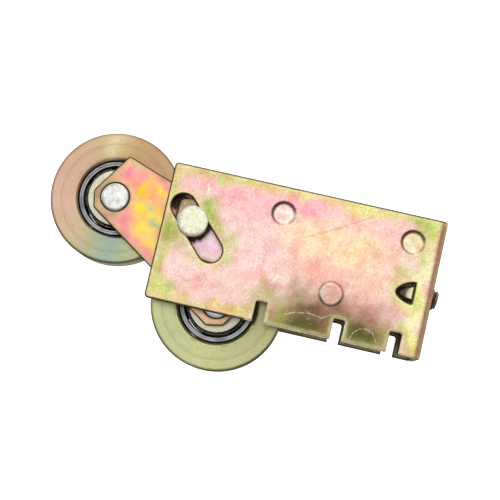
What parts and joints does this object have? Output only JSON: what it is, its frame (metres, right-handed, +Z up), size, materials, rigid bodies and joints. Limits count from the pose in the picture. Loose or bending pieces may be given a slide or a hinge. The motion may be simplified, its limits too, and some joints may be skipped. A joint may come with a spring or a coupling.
{
  "type": "sliding door roller",
  "caption": "Tandem sliding-door roller: folded steel housing, rocking truck with grooved ball-bearing wheels, and a screw that shifts the pivot pin along a slanted slot.",
  "frame": {"origin": "middle of the housing's open top, half way along and half way across, level with the top edges", "axes": "+X along the housing towards the adjusting screw, +Y from the front plate to the rear plate, +Z up with the wheels below"},
  "size_m": [0.1158, 0.0237, 0.0614],
  "materials": {
    "housing_plate": "yellow zinc plating, satin, pink and gold and green tints",
    "truck_plate": "yellow zinc plating, satin, gold middle and pink edges",
    "yoke_plate": "yellow zinc plating, satin, pale pink",
    "pin_steel": "bright zinc plating, satin",
    "wheel_steel": "yellow zinc plating over turned rings",
    "race_steel": "ground bearing steel",
    "ball_steel": "polished bearing steel",
    "cage_steel": "pressed steel",
    "axle_steel": "zinc-plated steel, mottled",
    "screw_steel": "zinc-plated steel",
    "nut_steel": "yellow zinc plating",
    "washer_steel": "yellow zinc plating, pale"
  },
  "bodies": {
    "housing": {"housing": "housing_plate"},
    "pin": {"pivot_pin": "pin_steel", "pivot_washer": "washer_steel"},
    "yoke": {"yoke": "yoke_plate"},
    "screw": {"adjusting_screw": "screw_steel", "screw_retainer": "washer_steel"},
    "nut": {"captive_nut": "nut_steel"},
    "truck": {"truck_plate_front": "truck_plate", "truck_plate_rear": "truck_plate", "pivot_bush": "washer_steel", "wheel_1_axle": "axle_steel", "wheel_1_inner_race": "race_steel", "wheel_1_washer_front": "washer_steel", "wheel_1_washer_rear": "washer_steel", "wheel_2_axle": "axle_steel", "wheel_2_inner_race": "race_steel", "wheel_2_washer_front": "washer_steel", "wheel_2_washer_rear": "washer_steel"},
    "wheel_1": {"wheel_1_rim": "wheel_steel", "wheel_1_outer_race": "race_steel"},
    "cage_1": {"wheel_1_ball_cage": "cage_steel", "wheel_1_ball_1": "ball_steel", "wheel_1_ball_2": "ball_steel", "wheel_1_ball_3": "ball_steel", "wheel_1_ball_4": "ball_steel", "wheel_1_ball_5": "ball_steel", "wheel_1_ball_6": "ball_steel", "wheel_1_ball_7": "ball_steel"},
    "wheel_2": {"wheel_2_rim": "wheel_steel", "wheel_2_outer_race": "race_steel"},
    "cage_2": {"wheel_2_ball_cage": "cage_steel", "wheel_2_ball_1": "ball_steel", "wheel_2_ball_2": "ball_steel", "wheel_2_ball_3": "ball_steel", "wheel_2_ball_4": "ball_steel", "wheel_2_ball_5": "ball_steel", "wheel_2_ball_6": "ball_steel", "wheel_2_ball_7": "ball_steel"}
  },
  "joints": [
    {"name": "pin_slide", "type": "slide", "parent": "housing", "child": "pin", "axis": [0.6897, 0, -0.7241], "range_m": [-0.00528, 0.00932]},
    {"name": "screw_turn", "type": "hinge", "parent": "yoke", "child": "screw", "pos_m": [-0.031, 0, -0.01575], "axis": [0.9969, 0, -0.0782], "range_deg": [-1390, 2450]},
    {"name": "yoke_tilt", "type": "hinge", "parent": "pin", "child": "yoke", "pos_m": [-0.031, 0, -0.01575], "axis": [0, 1, 0], "range_deg": [-5.65, 3.2]},
    {"name": "nut_travel", "type": "slide", "parent": "yoke", "child": "nut", "axis": [0.9969, 0, -0.0782], "range_m": [-0.00685, 0.0039]},
    {"name": "truck_rock", "type": "hinge", "parent": "pin", "child": "truck", "pos_m": [-0.031, 0, -0.01575], "axis": [0, 1, 0], "range_deg": [-36, 56]},
    {"name": "wheel_1_spin", "type": "hinge", "parent": "truck", "child": "wheel_1", "pos_m": [-0.05479, 0, -0.01319], "axis": [0, 1, 0], "continuous": true},
    {"name": "cage_1_spin", "type": "hinge", "parent": "truck", "child": "cage_1", "pos_m": [-0.05479, 0, -0.01319], "axis": [0, 1, 0], "continuous": true},
    {"name": "wheel_2_spin", "type": "hinge", "parent": "truck", "child": "wheel_2", "pos_m": [-0.01935, 0, -0.03665], "axis": [0, 1, 0], "continuous": true},
    {"name": "cage_2_spin", "type": "hinge", "parent": "truck", "child": "cage_2", "pos_m": [-0.01935, 0, -0.03665], "axis": [0, 1, 0], "continuous": true}
  ],
  "couplings": [
    {"joint": "screw_turn", "follows": "pin_slide", "rad_per_m": 4586.7},
    {"joint": "yoke_tilt", "follows": "pin_slide", "rad_per_m": -10.472},
    {"joint": "nut_travel", "follows": "pin_slide", "ratio": -0.73},
    {"joint": "cage_1_spin", "follows": "wheel_1_spin", "ratio": 0.632},
    {"joint": "cage_2_spin", "follows": "wheel_2_spin", "ratio": 0.632}
  ]
}
